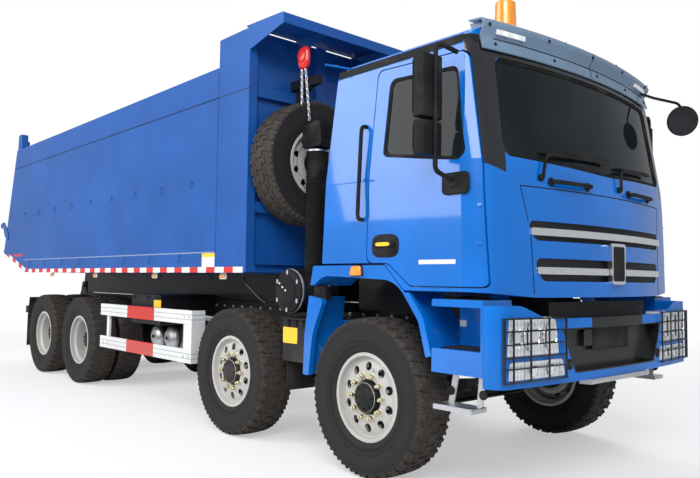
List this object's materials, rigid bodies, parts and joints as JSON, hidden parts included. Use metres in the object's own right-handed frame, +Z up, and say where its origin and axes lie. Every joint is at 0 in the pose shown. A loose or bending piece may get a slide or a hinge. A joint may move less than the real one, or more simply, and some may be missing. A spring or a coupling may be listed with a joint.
{
  "type": "dump truck",
  "caption": "Rear-tipping truck: tilting cab over the engine, steered front axles, hinged dump bed with top-hung tailgate and telescopic lift cylinder.",
  "frame": {"origin": "on the ground under the middle of the truck's length and width", "axes": "+X forward, +Y to the truck's left, +Z up"},
  "size_m": [9.65, 3.0268, 3.514],
  "materials": {
    "blue_cab": "gloss",
    "blue_bed": "gloss",
    "black_steel": "satin",
    "white_paint": "gloss",
    "tyre": "matte",
    "wheel_silver": "satin",
    "cast": "rough",
    "glass": "tinted",
    "lamp": "clear",
    "amber": "gloss",
    "chrome": "polished",
    "alloy": "brushed",
    "black_plastic": "matte",
    "rubber": "matte",
    "trim": "matte"
  },
  "bodies": {
    "chassis": {"chassis_frame": "black_steel", "axles": "black_steel", "springs": "black_steel", "powertrain": "cast", "front_bumper": "blue_cab", "lamps": "lamp", "lamp_guards": "black_steel", "alloy_steps": "alloy", "cab_steps": "blue_cab", "front_fenders": "blue_cab", "mudflaps": "rubber", "side_boxes": "black_plastic", "air_tanks": "black_steel", "fuel_tank": "alloy", "air_intake": "black_plastic", "side_guards": "white_paint"},
    "cab": {"cab_shell": "blue_cab", "windscreen": "glass", "cab_interior": "trim", "grille_bars": "chrome", "sun_visor": "blue_cab", "beacon": "amber", "front_mirror": "black_plastic"},
    "bed": {"bed": "blue_bed", "spare_tyre": "tyre", "spare_rim": "wheel_silver", "spare_bracket": "black_steel"},
    "tailgate": {"tailgate": "blue_bed"},
    "hoist_stage_1": {"hoist_stage_1": "chrome"},
    "left_door": {"left_door": "blue_cab", "left_door_glass": "glass", "left_mirrors": "black_plastic"},
    "right_door": {"right_door": "blue_cab", "right_door_glass": "glass", "right_mirrors": "black_plastic"},
    "hoist_stage_2": {"hoist_stage_2": "chrome"},
    "hoist_stage_3": {"hoist_stage_3": "chrome"},
    "hoist_stage_4": {"hoist_stage_4": "chrome"},
    "hoist_barrel": {"hoist_barrel": "black_steel"},
    "knuckle_1_right": {"knuckle_1_right": "black_steel"},
    "wheel_1_right": {"tyre_1_right": "tyre", "wheel_1_right": "wheel_silver"},
    "knuckle_1_left": {"knuckle_1_left": "black_steel"},
    "wheel_1_left": {"tyre_1_left": "tyre", "wheel_1_left": "wheel_silver"},
    "knuckle_2_right": {"knuckle_2_right": "black_steel"},
    "wheel_2_right": {"tyre_2_right": "tyre", "wheel_2_right": "wheel_silver"},
    "knuckle_2_left": {"knuckle_2_left": "black_steel"},
    "wheel_2_left": {"tyre_2_left": "tyre", "wheel_2_left": "wheel_silver"},
    "wheels_3_right": {"tyres_3_right": "tyre", "wheels_3_right": "wheel_silver"},
    "wheels_3_left": {"tyres_3_left": "tyre", "wheels_3_left": "wheel_silver"},
    "wheels_4_right": {"tyres_4_right": "tyre", "wheels_4_right": "wheel_silver"},
    "wheels_4_left": {"tyres_4_left": "tyre", "wheels_4_left": "wheel_silver"}
  },
  "joints": [
    {"name": "bed_tilt", "type": "hinge", "parent": "chassis", "child": "bed", "pos_m": [-3.485, 0, 1.2], "axis": [0, -1, 0], "range_deg": [0, 48]},
    {"name": "tailgate_swing", "type": "hinge", "parent": "bed", "child": "tailgate", "pos_m": [-4.075, 0, 3.35], "axis": [0, 1, 0], "range_deg": [0, 60]},
    {"name": "cab_tilt", "type": "hinge", "parent": "chassis", "child": "cab", "pos_m": [4.56, 0, 0.85], "axis": [0, 1, 0], "range_deg": [0, 50]},
    {"name": "left_door_swing", "type": "hinge", "parent": "cab", "child": "left_door", "pos_m": [4.605, 1.172, 1.5], "axis": [0, 0, -1], "range_deg": [0, 70]},
    {"name": "right_door_swing", "type": "hinge", "parent": "cab", "child": "right_door", "pos_m": [4.605, -1.172, 1.5], "axis": [0, 0, 1], "range_deg": [0, 70]},
    {"name": "hoist_lean", "type": "hinge", "parent": "chassis", "child": "hoist_stage_1", "pos_m": [2.415, 0, 1.165], "axis": [0, -1, 0], "range_deg": [0, 26.4]},
    {"name": "hoist_stage_2_slide", "type": "slide", "parent": "hoist_stage_1", "child": "hoist_stage_2", "axis": [0, 0, 1], "range_m": [0, 1.205]},
    {"name": "hoist_stage_3_slide", "type": "slide", "parent": "hoist_stage_2", "child": "hoist_stage_3", "axis": [0, 0, 1], "range_m": [0, 1.205]},
    {"name": "hoist_stage_4_slide", "type": "slide", "parent": "hoist_stage_3", "child": "hoist_stage_4", "axis": [0, 0, 1], "range_m": [0, 1.205]},
    {"name": "hoist_barrel_slide", "type": "slide", "parent": "hoist_stage_4", "child": "hoist_barrel", "axis": [0, 0, 1], "range_m": [0, 1.205]},
    {"name": "steer_1_right", "type": "hinge", "parent": "chassis", "child": "knuckle_1_right", "pos_m": [3.615, -0.925, 0.54], "axis": [0, 0, 1], "range_deg": [-35, 35]},
    {"name": "roll_1_right", "type": "hinge", "parent": "knuckle_1_right", "child": "wheel_1_right", "pos_m": [3.615, -1.1, 0.54], "axis": [0, 1, 0], "continuous": true},
    {"name": "steer_1_left", "type": "hinge", "parent": "chassis", "child": "knuckle_1_left", "pos_m": [3.615, 0.925, 0.54], "axis": [0, 0, 1], "range_deg": [-35, 35]},
    {"name": "roll_1_left", "type": "hinge", "parent": "knuckle_1_left", "child": "wheel_1_left", "pos_m": [3.615, 1.1, 0.54], "axis": [0, 1, 0], "continuous": true},
    {"name": "steer_2_right", "type": "hinge", "parent": "chassis", "child": "knuckle_2_right", "pos_m": [1.915, -0.925, 0.54], "axis": [0, 0, 1], "range_deg": [-25.5, 25.5]},
    {"name": "roll_2_right", "type": "hinge", "parent": "knuckle_2_right", "child": "wheel_2_right", "pos_m": [1.915, -1.1, 0.54], "axis": [0, 1, 0], "continuous": true},
    {"name": "steer_2_left", "type": "hinge", "parent": "chassis", "child": "knuckle_2_left", "pos_m": [1.915, 0.925, 0.54], "axis": [0, 0, 1], "range_deg": [-25.5, 25.5]},
    {"name": "roll_2_left", "type": "hinge", "parent": "knuckle_2_left", "child": "wheel_2_left", "pos_m": [1.915, 1.1, 0.54], "axis": [0, 1, 0], "continuous": true},
    {"name": "roll_3_right", "type": "hinge", "parent": "chassis", "child": "wheels_3_right", "pos_m": [-1.785, -1, 0.54], "axis": [0, 1, 0], "continuous": true},
    {"name": "roll_3_left", "type": "hinge", "parent": "chassis", "child": "wheels_3_left", "pos_m": [-1.785, 1, 0.54], "axis": [0, 1, 0], "continuous": true},
    {"name": "roll_4_right", "type": "hinge", "parent": "chassis", "child": "wheels_4_right", "pos_m": [-3.085, -1, 0.54], "axis": [0, 1, 0], "continuous": true},
    {"name": "roll_4_left", "type": "hinge", "parent": "chassis", "child": "wheels_4_left", "pos_m": [-3.085, 1, 0.54], "axis": [0, 1, 0], "continuous": true}
  ],
  "couplings": [
    {"joint": "hoist_lean", "follows": "bed_tilt", "ratio": 0.5465},
    {"joint": "hoist_stage_2_slide", "follows": "bed_tilt", "m_per_rad": 1.4351},
    {"joint": "hoist_stage_3_slide", "follows": "bed_tilt", "m_per_rad": 1.4351},
    {"joint": "hoist_stage_4_slide", "follows": "bed_tilt", "m_per_rad": 1.4351},
    {"joint": "hoist_barrel_slide", "follows": "bed_tilt", "m_per_rad": 1.4351},
    {"joint": "steer_1_left", "follows": "steer_1_right", "ratio": 1},
    {"joint": "steer_2_right", "follows": "steer_1_right", "ratio": 0.72},
    {"joint": "steer_2_left", "follows": "steer_1_right", "ratio": 0.72}
  ]
}
